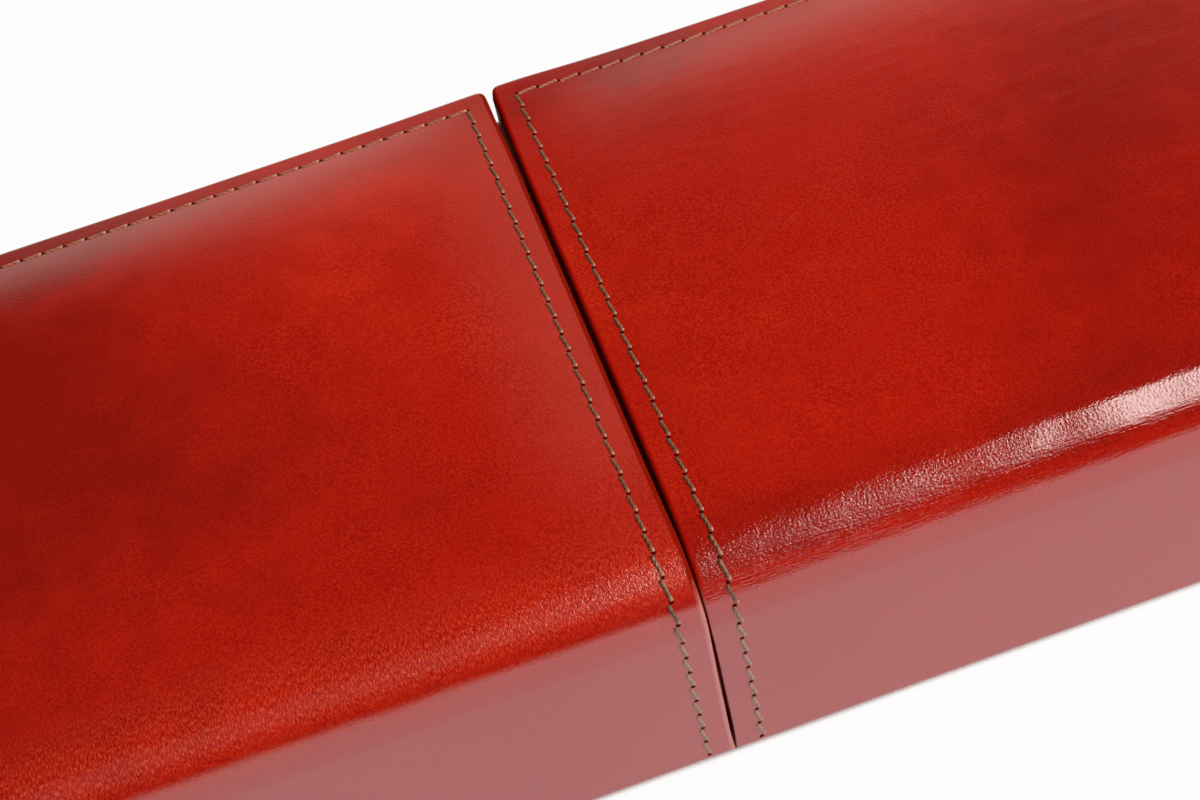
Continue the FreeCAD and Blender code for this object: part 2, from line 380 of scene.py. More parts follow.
def mouth_creep(half, run, from_mouth, padded):
    """The gap between the mouths: wider at the far seam, nearly closed over the fold."""
    if not padded:
        return -0.1 * mm * math.exp(-from_mouth / (3 * mm))
    fold_middle = half.seam_y - near_y - fold_radius + fold_radius * math.pi / 4
    side_end = fold_middle + fold_radius * math.pi / 4 + top_z - fold_radius
    along_top = 0.09 * mm * ease((run - 2 * mm) / (10 * mm)) - 0.12 * mm * ease(1 - run / (8 * mm))
    over_fold = 0.15 * mm * math.exp(-((run - fold_middle) / (8 * mm)) ** 2)
    down_side = 0.05 * mm * ease((run - fold_middle) / (6 * mm))
    at_floor = 0.14 * mm * ease(1 - (side_end - run) / (4 * mm))
    waver = 0.025 * mm * noise.noise(Vector((run / (7 * mm), 3 * half.way, 0)))
    return (along_top + over_fold + down_side + at_floor + waver) * math.exp(-from_mouth / (3 * mm))


def skin_lift(half, x, run, padded):
    """How far the outer skin stands out of the frame's panel, before its edges are pared."""
    from_mouth, from_end = abs(x - half.mouth), abs(x - half.end)
    lift = ripple(half, x, run) * ease(from_mouth / (6 * mm)) * ease(from_end / (6 * mm))
    if padded:
        lift += padding(half, run, from_mouth, from_end)
        lift -= row_dip_depth * dip(run, row_dip_width) * ease((from_mouth - half.mouth_row) / mm + 1)
    elif run < half.seam_y - near_y - fold_radius:
        lift = min(0, lift)
    lift -= row_dip_depth * dip(from_mouth - half.mouth_row, row_dip_width)
    return lift - row_dip_depth * dip(from_end - half.end_row, row_dip_width)


edge_width, edge_depth = 0.48 * mm, 0.42 * mm    # the round of a mouth's edge and of the lap
thinnest = 0.1 * mm


def mouth_round(half, run):
    """How much of the edge's round a mouth has: all of it on the top, less down the side."""
    fold_end = half.seam_y - near_y - fold_radius + fold_radius * math.pi / 2
    return 1 - 0.5 * ease((run - fold_end + 10 * mm) / (10 * mm))


class Cut:
    """How a panel's two long edges end: where, and how widely and deeply they are pared."""

    def __init__(self, place, width, depth, mitred):
        self.place = place
        self.width = width * mm
        self.depth = depth * mm
        self.mitred = mitred


def round_in_plan(a, b, radius):
    """Draws a corner of the sheet in to a round one. a and b are distances from its edges."""
    if a >= radius or b >= radius:
        return a, b
    from_centre = Vector((radius - a, radius - b))
    reach = max(from_centre)
    if reach > 0:
        from_centre = from_centre * (reach / from_centre.length)
    return radius - from_centre[0], radius - from_centre[1]


plan_corner = 1.0 * mm     # the lap's corners at the mouth are rounded off
no_seam = 0.6 * mm         # a lower panel has no seam row, so its map stops short of that row's holes
end_edge_width, end_edge_depth = 0.8 * mm, 0.5 * mm


def shape_panel(piece, half, flat_cut, side_cut, padded):
    hide = piece.data.uv_layers.new(name="hide")
    flat = {}
    for corner in piece.data.vertices:
        x, y, z = corner.co
        run, out = run_and_out(half, y, z)
        from_mouth = abs(x - half.mouth)
        from_end = abs(x - half.end)
        on_hide = run if padded else max(run, no_seam)
        flat[corner.index] = ((from_mouth - half.mouth_row) / mm, on_hide / mm)
        from_flat = flat_cut.place - y if out.z > 0.999 else half.length
        from_side = z - side_cut.place if out.y < -0.999 else half.length
        if padded:
            to_mouth, to_flat = round_in_plan(from_mouth, from_flat, plan_corner)
            corner.co.x += half.way * (to_mouth - from_mouth)
            corner.co.y += from_flat - to_flat
        if not on_skin(y, z):
            if flat_cut.mitred and from_flat < near_enough:
                corner.co.y -= leather_t - seam_flat
            if side_cut.mitred and from_side < near_enough:
                corner.co.z += leather_t - seam_flat
            continue
        lift = skin_lift(half, x, run, padded)
        share = mouth_round(half, run)
        drop = max(pared(from_mouth, edge_width * share, edge_depth * share),
                   pared(from_end, end_edge_width, end_edge_depth),
                   pared(from_flat, flat_cut.width, flat_cut.depth),
                   pared(from_side, side_cut.width, side_cut.depth))
        corner.co.x -= half.way * mouth_creep(half, run, from_mouth, padded)
        corner.co += out * max(lift - drop, thinnest - leather_t)
    for loop in piece.data.loops:
        hide.data[loop.index].uv = flat[loop.vertex_index]


# %% [markdown]
# ## The four panels
# The same function cuts all four. The upper panels end in a lapped, burnished edge along the far seam
# and in a mitre along the near lower edge. The lower panels are the same sheet turned half round about
# the length of the case, with the mitre on the other edge and a turned edge under the lap.

# %% Make the panels
leather_pieces = {}
lap_gap = 1.4 * mm


def upper_leather(half):
    lap = Cut(half.lap_y, edge_width / mm, edge_depth / mm, mitred=False)
    mitre = Cut(seam_flat, 0.7, seam_flat / mm, mitred=True)
    piece = bent_panel(half, lap.place, mitre.place)
    thicken(piece)
    shape_panel(piece, half, lap, mitre, padded=True)
    return piece


def lower_leather(half):
    mitre = Cut(far_y - seam_flat, 0.7, seam_flat / mm, mitred=True)
    turned = Cut(lap_gap, 1.2, 1.0, mitred=False)
    piece = bent_panel(half, mitre.place, turned.place)
    thicken(piece)
    shape_panel(piece, half, mitre, turned, padded=False)
    bpy.ops.object.mode_set(mode="EDIT")
    bpy.ops.mesh.select_all(action="SELECT")
    bpy.ops.transform.rotate(value=math.pi, orient_axis="X", center_override=(0, 0, top_z / 2))
    return piece


for half in (base, cap):
    for part, cut in (("upper", upper_leather), ("lower", lower_leather)):
        piece = cut(half)
        settle(piece, half.name + "_" + part + "_leather", 50)
        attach(piece, half.name)
        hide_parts(half.name + "_" + part + "_panel")
        leather_pieces[piece.name] = piece

# %% [markdown]
# ## The closed ends
# Each end is a shallow leather tray pushed in between the panels, with its flange pointing inwards and
# its face a little below the panels' edges. It starts as a plane of the end's outline with its corners
# bevelled, two of them to the fold, is extruded to the flange's depth and hollowed at the back by an
# inset. Cuts across the face give it vertices, which are lifted so that it swells over its board.

# %% Make the end trays
board_t = {"base": 1.05 * mm, "cap": 0.8 * mm}
tray_edge = 0.45 * mm
tray_corner = 1.0 * mm
tray_swell, tray_reach = 0.28 * mm, 4.0 * mm
tray_cell = 2.4 * mm


def cut_in_cells(piece, axis, low, high, test):
    """Cuts the picked faces across an axis at even steps."""
    normal = [0, 0, 0]
    normal[axis] = 1
    count = round((high - low) / tray_cell)
    for number in range(1, count):
        place = [0, 0, 0]
        place[axis] = low + (high - low) * number / count
        pick_faces(piece, test)
        bpy.ops.mesh.bisect(plane_co=place, plane_no=normal)


def end_tray(half):
    low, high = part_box(half.name + "_end_panel")
    face_x = high[0] if half.way > 0 else low[0]
    rim_x = low[0] if half.way > 0 else high[0]
    middle = Vector((face_x, (low[1] + high[1]) / 2, (low[2] + high[2]) / 2))
    bpy.ops.object.select_all(action="DESELECT")
    bpy.ops.mesh.primitive_plane_add(size=1, location=middle, rotation=(0, half.way * math.pi / 2, 0))
    bpy.context.object.scale = (high[2] - low[2], high[1] - low[1], 1)
    piece = start_editing()

    pick_corners(piece, lambda place: (place.y < 0) == (place.z > middle.z))
    bpy.ops.mesh.bevel(offset=fold_radius - leather_t, segments=14, profile=0.5, affect="VERTICES")
    pick_corners(piece, lambda place: place.y * (place.z - middle.z) > (high[1] - mm) * (high[2] - mm - middle.z))
    bpy.ops.mesh.bevel(offset=tray_corner, segments=4, profile=0.5, affect="VERTICES")
    bpy.ops.mesh.select_all(action="SELECT")
    bpy.ops.mesh.extrude_region_move(TRANSFORM_OT_translate={"value": (rim_x - face_x, 0, 0)})
    pick_faces(piece, lambda place, out: same(place.x, rim_x) and abs(out.x) > 0.9)
    bpy.ops.mesh.inset(thickness=board_t[half.name])
    bpy.ops.transform.translate(value=(face_x - rim_x - half.way * leather_t, 0, 0))
    bpy.ops.mesh.select_all(action="SELECT")
    bpy.ops.mesh.normals_make_consistent(inside=False)
    pick_edges(piece, lambda a, b: same(a.x, face_x) and same(b.x, face_x))
    bpy.ops.mesh.bevel(offset=tray_edge, segments=4, profile=0.5, affect="EDGES")

    def on_face(place, out):
        return same(place.x, face_x) and half.way * out.x > 0.9

    cut_in_cells(piece, 1, low[1], high[1], on_face)
    cut_in_cells(piece, 2, low[2], high[2], on_face)
    bpy.ops.object.mode_set(mode="OBJECT")
    for corner in piece.data.vertices:
        place = corner.co
        if same(place.x, face_x):
            inwards = min(place.y - low[1], high[1] - place.y, place.z - low[2], high[2] - place.z) - tray_edge
            place.x += half.way * tray_swell * (1 - math.exp(-max(0, inwards) / tray_reach))
    hide = piece.data.uv_layers.new(name="hide")
    for loop in piece.data.loops:
        hide.data[loop.index].uv = (40, 40)     # a place on the hide that is far from every stitch hole
    return piece


for half in (base, cap):
    piece = end_tray(half)
    settle(piece, half.name + "_end_leather", 40)
    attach(piece, half.name)
    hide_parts(half.name + "_end_panel")
    leather_pieces[piece.name] = piece

# %% [markdown]
# ## Stitches
# The rows are saddle stitch in a waxed brown thread, at ten stitches to 25 mm, each leaning a little
# across its row because the holes are slanted slits. One stitch is a cylinder with a few rings, arched
# so that both ends dive into their holes. It is copied along each row, every copy a little different
# in lean and height as hand work is, and each row is joined into one piece.

# %% Model one stitch
stitch_pitch = 2.5 * mm
stitch_length = 2.5 * mm
thread_radius = 0.195 * mm
lean_on_top, lean_on_side = math.radians(8), math.radians(14)
crown_height = 0.02 * mm
hole_depth = 0.5 * mm
flatness = 0.58            # waxed thread is hammered flat into the leather
flush = 0.05 * mm          # how far the rows on the underside are let in, so that the case lies flat


def one_stitch():
    bpy.ops.object.select_all(action="DESELECT")
    bpy.ops.mesh.primitive_cylinder_add(vertices=8, radius=thread_radius, depth=stitch_length,
                                        rotation=(0, math.pi / 2, 0))
    piece = start_editing()
    pick_edges(piece, lambda a, b: not same(a.x, b.x))
    bpy.ops.mesh.subdivide(number_cuts=9)
    bpy.ops.object.mode_set(mode="OBJECT")
    for corner in piece.data.vertices:
        share = corner.co.x / (stitch_length / 2)
        corner.co.x = stitch_length / 2 * math.copysign(abs(share) ** 0.55, share)
    thread = piece.data.uv_layers.active
    for loop in piece.data.loops:
        place = piece.data.vertices[loop.vertex_index].co
        thread.data[loop.index].uv = (place.x / mm, math.atan2(place.y, place.z) / math.tau)
    for corner in piece.data.vertices:
        across = corner.co.x / (stitch_length / 2)
        slim = 1 - 0.3 * across ** 10
        arch = crown_height - hole_depth * across ** 14
        corner.co = (corner.co.x, corner.co.y * slim, corner.co.z * flatness * slim + arch)
    piece.data.uv_layers.active.name = "thread"
    return piece


pattern = one_stitch()
print("one stitch has", len(pattern.data.polygons), "faces")


# %% Copy it along the rows
def loop_place(half, distance):
    """Place and outward direction on the upper panel's loop, from the seam corner."""
    fold_y = near_y + fold_radius
    fold_z = top_z - fold_radius
    top_length = half.seam_y - fold_y
    roll = fold_radius * math.pi / 2
    if distance <= top_length:
        return Vector((0, half.seam_y - distance, top_z)), Vector((0, 0, 1))
    if distance <= top_length + roll:
        turn = (distance - top_length) / fold_radius
        out = Vector((0, -math.sin(turn), math.cos(turn)))
        return Vector((0, fold_y, fold_z)) + fold_radius * out, out
    return Vector((0, near_y, fold_z - (distance - top_length - roll))), Vector((0, -1, 0))


def turned_half_round(vector):
    return Vector((vector.x, -vector.y, top_z - vector.z))


def add_stitch(row, place, along, out, number, height):
    """One copy of the pattern, at the leather's height and leaning by hand."""
    sway = noise.noise(Vector((number * 1.7, place.x / mm, 0)))
    across = along.cross(out)
    lean = lean_on_top + (lean_on_side - lean_on_top) * abs(out.y) + math.radians(5) * sway
    along_leaning = along * math.cos(lean) - across * math.sin(lean)
    across_leaning = out.cross(along_leaning)
    set_in = height + 0.03 * mm * noise.noise(Vector((0, number * 2.3, place.x / mm)))
    turn = Matrix((along_leaning, across_leaning, out)).transposed().to_4x4()
    copy = pattern.copy()
    copy.data = pattern.data.copy()
    copy.data.transform(Matrix.Translation(place + out * set_in) @ turn)
    bpy.context.collection.objects.link(copy)
    row.append(copy)


def joined(row, name):
    bpy.ops.object.select_all(action="DESELECT")
    for piece in row:
        piece.select_set(True)
    bpy.context.view_layer.objects.active = row[0]
    bpy.ops.object.join()
    settle(row[0], name, 60)
    return row[0]


def loop_row(half, x, name):
    side_end = half.seam_y - near_y - fold_radius * (2 - math.pi / 2) + top_z
    count = int((side_end - 2 * seam_flat) / stitch_pitch)
    row = []
    for number in range(count):
        run = (number + 0.5) * stitch_pitch
        place, out = loop_place(half, run)
        place.x = x
        along = Vector((0, out.z, -out.y))
        add_stitch(row, place, along, out, number, skin_lift(half, x, run, True))
        under = turned_half_round(place)
        height = skin_lift(half, x, run, False) - flush * max(0, out.z)
        add_stitch(row, under, Vector((0, -along.y, -along.z)), Vector((0, -out.y, -out.z)), number + count, height)
    return joined(row, name)


def seam_row(half, name):
    first = half.mouth + half.way * half.mouth_row
    span = half.length - half.mouth_row - half.end_row
    row = []
    for number in range(int(span / stitch_pitch)):
        place = Vector((first + half.way * (number + 0.5) * stitch_pitch, half.seam_y, top_z))
        height = skin_lift(half, place.x, 0, True)
        add_stitch(row, place, Vector((half.way, 0, 0)), Vector((0, 0, 1)), number, height)
    return joined(row, name)


thread_pieces = []
for half in (base, cap):
    rows = {
        "mouth": loop_row(half, half.mouth + half.way * half.mouth_row, half.name + "_mouth_stitches"),
        "end": loop_row(half, half.end - half.way * half.end_row, half.name + "_end_stitches"),
        "seam": seam_row(half, half.name + "_seam_stitches"),
    }
    for row, piece in rows.items():
        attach(piece, half.name)
        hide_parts(half.name + "_" + row + "_thread")
        thread_pieces.append(piece)
bpy.data.objects.remove(pattern)

# %% [markdown]
# ## Finishes from nodes
# A finish is a small graph of nodes. These helpers add a node with its settings, join two sockets and
# do sums, so that each finish below reads as a list of what is on the surface.

# %% Helpers for finishes
def new_finish(name):
    material = bpy.data.materials.new(name)
    material.use_nodes = True
    return material, material.node_tree, material.node_tree.nodes["Principled BSDF"]


def add(tree, kind, settings=None, **inputs):
    """A node, with plain settings and input values. A socket given as a value is joined."""
    node = tree.nodes.new(kind)
    for key, value in (settings or {}).items():
        setattr(node, key, value)
    for key, value in inputs.items():
        give(tree, node.inputs[key.replace("_", " ")], value)
    return node


def give(tree, target, value):
    if isinstance(value, bpy.types.NodeSocket):
        tree.links.new(value, target)
    else:
        target.default_value = value


def sum_of(tree, operation, first, second=0.0):
    node = tree.nodes.new("ShaderNodeMath")
    node.operation = operation
    give(tree, node.inputs[0], first)
    give(tree, node.inputs[1], second)
    return node.outputs[0]


def between(tree, value, low, high, to_low=0.0, to_high=1.0):
    """A smooth step of value from low to high."""
    node = add(tree, "ShaderNodeMapRange", {"interpolation_type": "SMOOTHSTEP"})
    for socket, number in zip(node.inputs, (value, low, high, to_low, to_high)):
        give(tree, socket, number)
    return node.outputs[0]


def blended(tree, amount, first, second, way="MIX"):
    node = add(tree, "ShaderNodeMix", {"data_type": "RGBA", "blend_type": way})
    give(tree, node.inputs[0], amount)
    give(tree, node.inputs[6], first)
    give(tree, node.inputs[7], second)
    return node.outputs[2]


def paint(red, green, blue):
    return (red, green, blue, 1)


def clouds(tree, size, detail, offset=(0, 0, 0)):
    """Noise with features about as large as size, in metres, on the piece's own coordinates."""
    where = add(tree, "ShaderNodeTexCoord").outputs["Object"]
    moved = add(tree, "ShaderNodeMapping", Vector=where, Location=offset).outputs[0]
    return add(tree, "ShaderNodeTexNoise", Vector=moved, Scale=1 / size, Detail=detail, Roughness=0.55).outputs[0]


# %% [markdown]
# ## Red calf
# The leather is stained by hand in thin coats of spirit dye and then glazed. It is deep red with
# orange showing through where the coats are thin and dark clouds where they meet. Over that lies a
# fine pebbled grain, and a clear glaze that mirrors the lamp. Light and shade are painted into the
# stain too: painted shade on the near face, over the fold, on the top's mouth edges and in the stitch
# holes, which are found on the flat hide's millimetres; a painted sheen beside the cap's mouth;
# painted glints with the worn stain on the fold's creases; and a painted reflection on the cap's
# mouth edge down the near face.

# %% Build the red calf
def stitch_holes(tree, half):
    """Distance in mm to the nearest stitch hole, from the hide's own map."""
    hide = add(tree, "ShaderNodeUVMap", {"uv_map": "hide"}).outputs[0]
    place = add(tree, "ShaderNodeSeparateXYZ", Vector=hide)
    u, v = place.outputs[0], place.outputs[1]
    pitch = stitch_pitch / mm

    def to_nearest_hole(distance):
        return sum_of(tree, "PINGPONG", distance, pitch / 2)

    def length_of(a, b):
        return sum_of(tree, "SQRT", sum_of(tree, "ADD", sum_of(tree, "MULTIPLY", a, a), sum_of(tree, "MULTIPLY", b, b)))

    span = (half.length - half.mouth_row - half.end_row) / mm
    to_mouth_row = sum_of(tree, "ABSOLUTE", u)
    to_end_row = sum_of(tree, "ABSOLUTE", sum_of(tree, "SUBTRACT", u, span))
    to_loop = sum_of(tree, "MINIMUM", to_mouth_row, to_end_row)
    to_seam = v
    past_loop = sum_of(tree, "MULTIPLY", sum_of(tree, "LESS_THAN", v, -0.5), pitch)
    past_seam = sum_of(tree, "MULTIPLY", sum_of(tree, "LESS_THAN", u, -0.5), pitch)
    loop_hole = sum_of(tree, "ADD", length_of(to_loop, to_nearest_hole(v)), past_loop)
    seam_hole = sum_of(tree, "ADD", length_of(to_seam, to_nearest_hole(u)), past_seam)
    return sum_of(tree, "MINIMUM", loop_hole, seam_hole)


crease_depth = {"base": 0.3, "cap": 0.8}
crease_scale = {"base": (8.5, 7.0, 1), "cap": (7.5, 2.0, 1)}      # creases per mm, along and over the fold
wrinkle_depth = {"base": 2.8, "cap": 0.1}
firm_at_mouth = {"base": 0.5, "cap": 0.4}      # how strongly the glaze follows the fold's creases
firm_on_fold = {"base": 0.18, "cap": 0.36}     # and the same further away
gathered_low = {"base": 0.9, "cap": 0.0}       # whether it still does where the fold meets the near face
glaze_on_fold = {"base": 0.82, "cap": 0.84}
wrinkle_scale = (0.5, 4.4, 1)


vein_turn = math.radians(12)
vein_scale = (0.14, 0.42, 1)                   # natural wrinkles of the hide, long and faint
vein_depth = {"base": 3.0, "cap": 0.8}


def hide_place(tree):
    return add(tree, "ShaderNodeUVMap", {"uv_map": "hide"}).outputs[0]


def grain(tree, half, on_fold, low_on_fold):
    """Pebbles with pores on flat leather, drawn out over the fold and wrinkled along its lower edge."""
    where = add(tree, "ShaderNodeTexCoord").outputs["Object"]
    pebbles = add(tree, "ShaderNodeTexVoronoi", {"feature": "SMOOTH_F1"}, Vector=where, Scale=3300.0,
                  Smoothness=0.5).outputs["Distance"]
    pores = add(tree, "ShaderNodeTexNoise", Vector=where, Scale=3900.0, Detail=2.0, Roughness=0.6).outputs[0]
    plain = sum_of(tree, "SUBTRACT", pores, sum_of(tree, "MULTIPLY", pebbles, 0.6))
    over = add(tree, "ShaderNodeMapping", Vector=hide_place(tree), Scale=crease_scale[half.name]).outputs[0]
    creases = add(tree, "ShaderNodeTexNoise", Vector=over, Scale=1.0, Detail=3.0, Roughness=0.6).outputs[0]
    along = add(tree, "ShaderNodeMapping", Vector=hide_place(tree), Scale=wrinkle_scale).outputs[0]
    wrinkles = add(tree, "ShaderNodeTexNoise", Vector=along, Scale=1.0, Detail=3.0).outputs[0]
    drawn = sum_of(tree, "MULTIPLY", sum_of(tree, "MULTIPLY", creases, crease_depth[half.name]), on_fold)
    lined = sum_of(tree, "MULTIPLY", sum_of(tree, "MULTIPLY", wrinkles, wrinkle_depth[half.name]), low_on_fold)
    veins = add(tree, "ShaderNodeMapping", Vector=hide_place(tree), Rotation=(0, 0, vein_turn), Scale=vein_scale)
    veined = add(tree, "ShaderNodeTexNoise", {"noise_type": "RIDGED_MULTIFRACTAL"}, Vector=veins.outputs[0],
                 Scale=1.0, Detail=3.0, Roughness=0.5).outputs[0]
    veined = sum_of(tree, "MULTIPLY", veined, vein_depth[half.name])
    folds = sum_of(tree, "ADD", veined, sum_of(tree, "ADD", drawn, lined))
    return plain, creases, sum_of(tree, "ADD", plain, folds)


def patch(tree, x, y, radius, strength):
    """A soft round cloud of stain on the top, by its place on the case in mm."""
    where = add(tree, "ShaderNodeTexCoord").outputs["Object"]
    flat = add(tree, "ShaderNodeVectorMath", {"operation": "MULTIPLY"})
    give(tree, flat.inputs[0], where)
    flat.inputs[1].default_value = (1, 1, 0)
    gap = add(tree, "ShaderNodeVectorMath", {"operation": "DISTANCE"})
    give(tree, gap.inputs[0], flat.outputs[0])
    gap.inputs[1].default_value = (x * mm, y * mm, 0)
    return between(tree, gap.outputs["Value"], radius * mm, 0.0, 0.0, strength)


stain_clouds = {
    "cap": [(-78, 6, 48, -0.2), (-52, 8, 28, -0.1), (-18, 6, 44, 0.08), (-34, 28, 26, 0.18),
            (-38, -14, 24, -0.08), (-66, 28, 22, -0.08)],
    "base": [(50, -10, 42, -0.2), (34, 26, 22, 0.08), (0, -12, 44, 0.12), (4, 6, 16, -0.06), (60, 16, 34, -0.14)],
}


# Painted sheen: how much paler the top is painted towards the cap's mouth.
painted_sheen_at_mouth = {"base": 0.0, "cap": 0.72}
# Painted shade: how much darker the stain is painted over the fold.
fold_painted_shade = {"base": -0.28, "cap": -0.08}
mouth_edge_painted_shade = {"base": 0.42, "cap": 0.2}          # painted shade on the top's mouth edges, where they round into the gap
painted_edge_reflection = {"base": 0.0, "cap": 0.8}          # and the near face's, painted paler on the cap as a painted reflection
rubbed_thin_and_glints = {"base": 0.1, "cap": 1.0}     # how pale the fold's creases are painted: stain worn thin, and painted glints


def red_calf(half):
    material, tree, shader = new_finish("red_calf_" + half.name)
    drift = (0.03 * half.way, 0.02, 0.01)
    cloud = clouds(tree, 26 * mm, 3.0, drift)
    mottle = clouds(tree, 4 * mm, 4.0, drift)
    depth = sum_of(tree, "ADD", sum_of(tree, "MULTIPLY", cloud, 0.5), 0.25)
    depth = sum_of(tree, "ADD", depth, sum_of(tree, "MULTIPLY", sum_of(tree, "SUBTRACT", mottle, 0.5), 0.2))
    for x, y, radius, strength in stain_clouds[half.name]:
        depth = sum_of(tree, "ADD", depth, patch(tree, x, y, radius, strength))
    run = add(tree, "ShaderNodeSeparateXYZ", Vector=hide_place(tree))
    fold_start = (half.seam_y - near_y - fold_radius) / mm
    fold_end = fold_start + fold_radius / mm * math.pi / 2
    onto = between(tree, run.outputs[1], fold_start - 5, fold_start + 5)
    on_fold = sum_of(tree, "MULTIPLY", onto, between(tree, run.outputs[1], fold_start + 7.5, fold_start + 5))
    cloudy = depth
    # Painted shade: the stain is darker over the fold, most on the base, under the lamp's highlight.
    depth = sum_of(tree, "ADD", depth, sum_of(tree, "MULTIPLY", on_fold, fold_painted_shade[half.name]))
    depth = sum_of(tree, "ADD", depth, between(tree, run.outputs[1], 9.0, 0.0, 0.0, -0.18))
    low_on_fold = sum_of(tree, "MULTIPLY", between(tree, run.outputs[1], fold_start + 2, fold_start + 4.5),
                         between(tree, run.outputs[1], fold_start + 10, fold_start + 6))
    flat_grain, creases, drawn_grain = grain(tree, half, on_fold, low_on_fold)
    stain = blended(tree, between(tree, depth, 0.2, 0.5), paint(0.31, 0.0045, 0.0008), paint(0.49, 0.009, 0.001))
    stain = blended(tree, between(tree, depth, 0.5, 0.82), stain, paint(0.68, 0.022, 0.0026))
    near_face = between(tree, run.outputs[1], fold_start + 5, fold_start + 9)
    # Painted shade: the near face is painted a darker red than the top, to dim how bright the front light and the white
    # floor make it.
    stain = blended(tree, sum_of(tree, "MULTIPLY", near_face, 0.85), stain, paint(0.35, 0.006, 0.001))
    # Painted sheen: the cap's top is painted paler towards its mouth row, as the glaze's reflection there.
    glow = between(tree, run.outputs[0], 13.0, -3.0, 0.0, painted_sheen_at_mouth[half.name])
    glow = sum_of(tree, "MULTIPLY", glow, between(tree, run.outputs[1], fold_start - 16, fold_start, 1.0, 0.2))
    stain = blended(tree, glow, stain, paint(0.48, 0.042, 0.027))
    dark_speck = blended(tree, 1.0, stain, paint(0.82, 0.5, 0.4), "MULTIPLY")
    light_speck = blended(tree, 1.0, stain, paint(1.14, 1.75, 2.3), "MULTIPLY")
    speckled = blended(tree, between(tree, flat_grain, 0.0, 0.5), dark_speck, light_speck)
    on_side = between(tree, run.outputs[1], fold_start + 6, fold_end, 1.0, 0.2)
    clear_grain = sum_of(tree, "MULTIPLY", on_side, between(tree, cloudy, 0.2, 0.5, 0.5, 1.0))
    patchy = clouds(tree, 9 * mm, 2.0, drift)
    clear_grain = sum_of(tree, "MULTIPLY", clear_grain, between(tree, patchy, 0.35, 0.65, 0.65, 1.2))
    clear_grain = sum_of(tree, "MULTIPLY", clear_grain, between(tree, run.outputs[1], 3.0, 30.0, 0.3, 1.0))
    clear_grain = sum_of(tree, "MULTIPLY", clear_grain, sum_of(tree, "SUBTRACT", 1.0, glow))
    stain = blended(tree, clear_grain, stain, speckled)
    # Partly stain worn thin on the fold's creases, partly painted glints of the lamp on them.
    rubbed_and_glints = sum_of(tree, "MULTIPLY", between(tree, creases, 0.48, 0.62, 0.0, rubbed_thin_and_glints[half.name]), on_fold)
    stain = blended(tree, rubbed_and_glints, stain, paint(0.64, 0.06, 0.024))
    from_mouth = sum_of(tree, "ADD", run.outputs[0], half.mouth_row / mm)
    # Painted shade: the top's mouth edges are painted darker where they round down into the gap.
    at_edge = sum_of(tree, "MULTIPLY", between(tree, from_mouth, 0.62, 0.36), sum_of(tree, "SUBTRACT", 1.0, near_face))
    stain = blended(tree, at_edge, stain, paint(mouth_edge_painted_shade[half.name], 0.007, 0.002))
    # Painted reflection: the cap's mouth edge down the near face is painted pale pink.
    edge_reflection_mask = sum_of(tree, "MULTIPLY", between(tree, from_mouth, 0.6, 0.3, 0.0, painted_edge_reflection[half.name]), near_face)
    stain = blended(tree, edge_reflection_mask, stain, paint(0.5, 0.13, 0.11))
    hole = stitch_holes(tree, half)
    # Painted shade: the stitch holes are painted near black, for the shade inside them.
    in_hole = between(tree, hole, 0.3, 0.16)
    stain = blended(tree, in_hole, stain, paint(0.05, 0.003, 0.0015))
    tree.links.new(stain, shader.inputs["Base Color"])
    shader.inputs["Roughness"].default_value = 0.6
    dent = between(tree, hole, 0.4, 0.1, 0.0, -0.6)
    height = sum_of(tree, "ADD", drawn_grain, dent)
    bump = add(tree, "ShaderNodeBump", Strength=clear_grain, Distance=0.03 * mm, Height=height)
    tree.links.new(bump.outputs[0], shader.inputs["Normal"])
    creased = between(tree, run.outputs[0], 4.0, 36.0, firm_at_mouth[half.name], firm_on_fold[half.name])
    gathered = sum_of(tree, "MULTIPLY", low_on_fold, gathered_low[half.name])
    firm = between(tree, sum_of(tree, "MAXIMUM", on_fold, gathered), 0.0, 1.0, 0.1, creased)
    glaze = add(tree, "ShaderNodeBump", Strength=firm, Distance=0.07 * mm, Height=height)
    tree.links.new(glaze.outputs[0], shader.inputs["Coat Normal"])
    glazed = sum_of(tree, "MULTIPLY", sum_of(tree, "SUBTRACT", 1.0, in_hole), sum_of(tree, "SUBTRACT", 1.0, at_edge))
    glazed = sum_of(tree, "MULTIPLY", glazed, between(tree, on_fold, 0.0, 1.0, 1.0, glaze_on_fold[half.name]))
    tree.links.new(glazed, shader.inputs["Coat Weight"])
    shader.inputs["Specular IOR Level"].default_value = 0.0
    tree.links.new(between(tree, mottle, 0.3, 0.7, 0.08, 0.12), shader.inputs["Coat Roughness"])
    shader.inputs["Coat IOR"].default_value = 1.95
    return material


# %% [markdown]
# ## Cut edges
# Where a panel is cut its layers are pared, dyed a darker red and rubbed with a bone until they shine.
# The fibres still show as faint streaks along the edge.

# %% Build the burnished edge
def burnished_edge():
    material, tree, shader = new_finish("burnished_edge")
    fibres = clouds(tree, 0.5 * mm, 3.0)
    dye = blended(tree, between(tree, fibres, 0.3, 0.7), paint(0.64, 0.021, 0.007), paint(0.82, 0.036, 0.013))
    tree.links.new(dye, shader.inputs["Base Color"])
    bump = add(tree, "ShaderNodeBump", Strength=0.3, Distance=0.05 * mm, Height=fibres)
    tree.links.new(bump.outputs[0], shader.inputs["Normal"])
    shader.inputs["Roughness"].default_value = 0.5
    return material


edge_finish = burnished_edge()
for half in (base, cap):
    calf = red_calf(half)
    for name, piece in leather_pieces.items():
        if name.startswith(half.name):
            piece.data.materials.clear()
            piece.data.materials.append(calf)
            piece.data.materials.append(edge_finish)
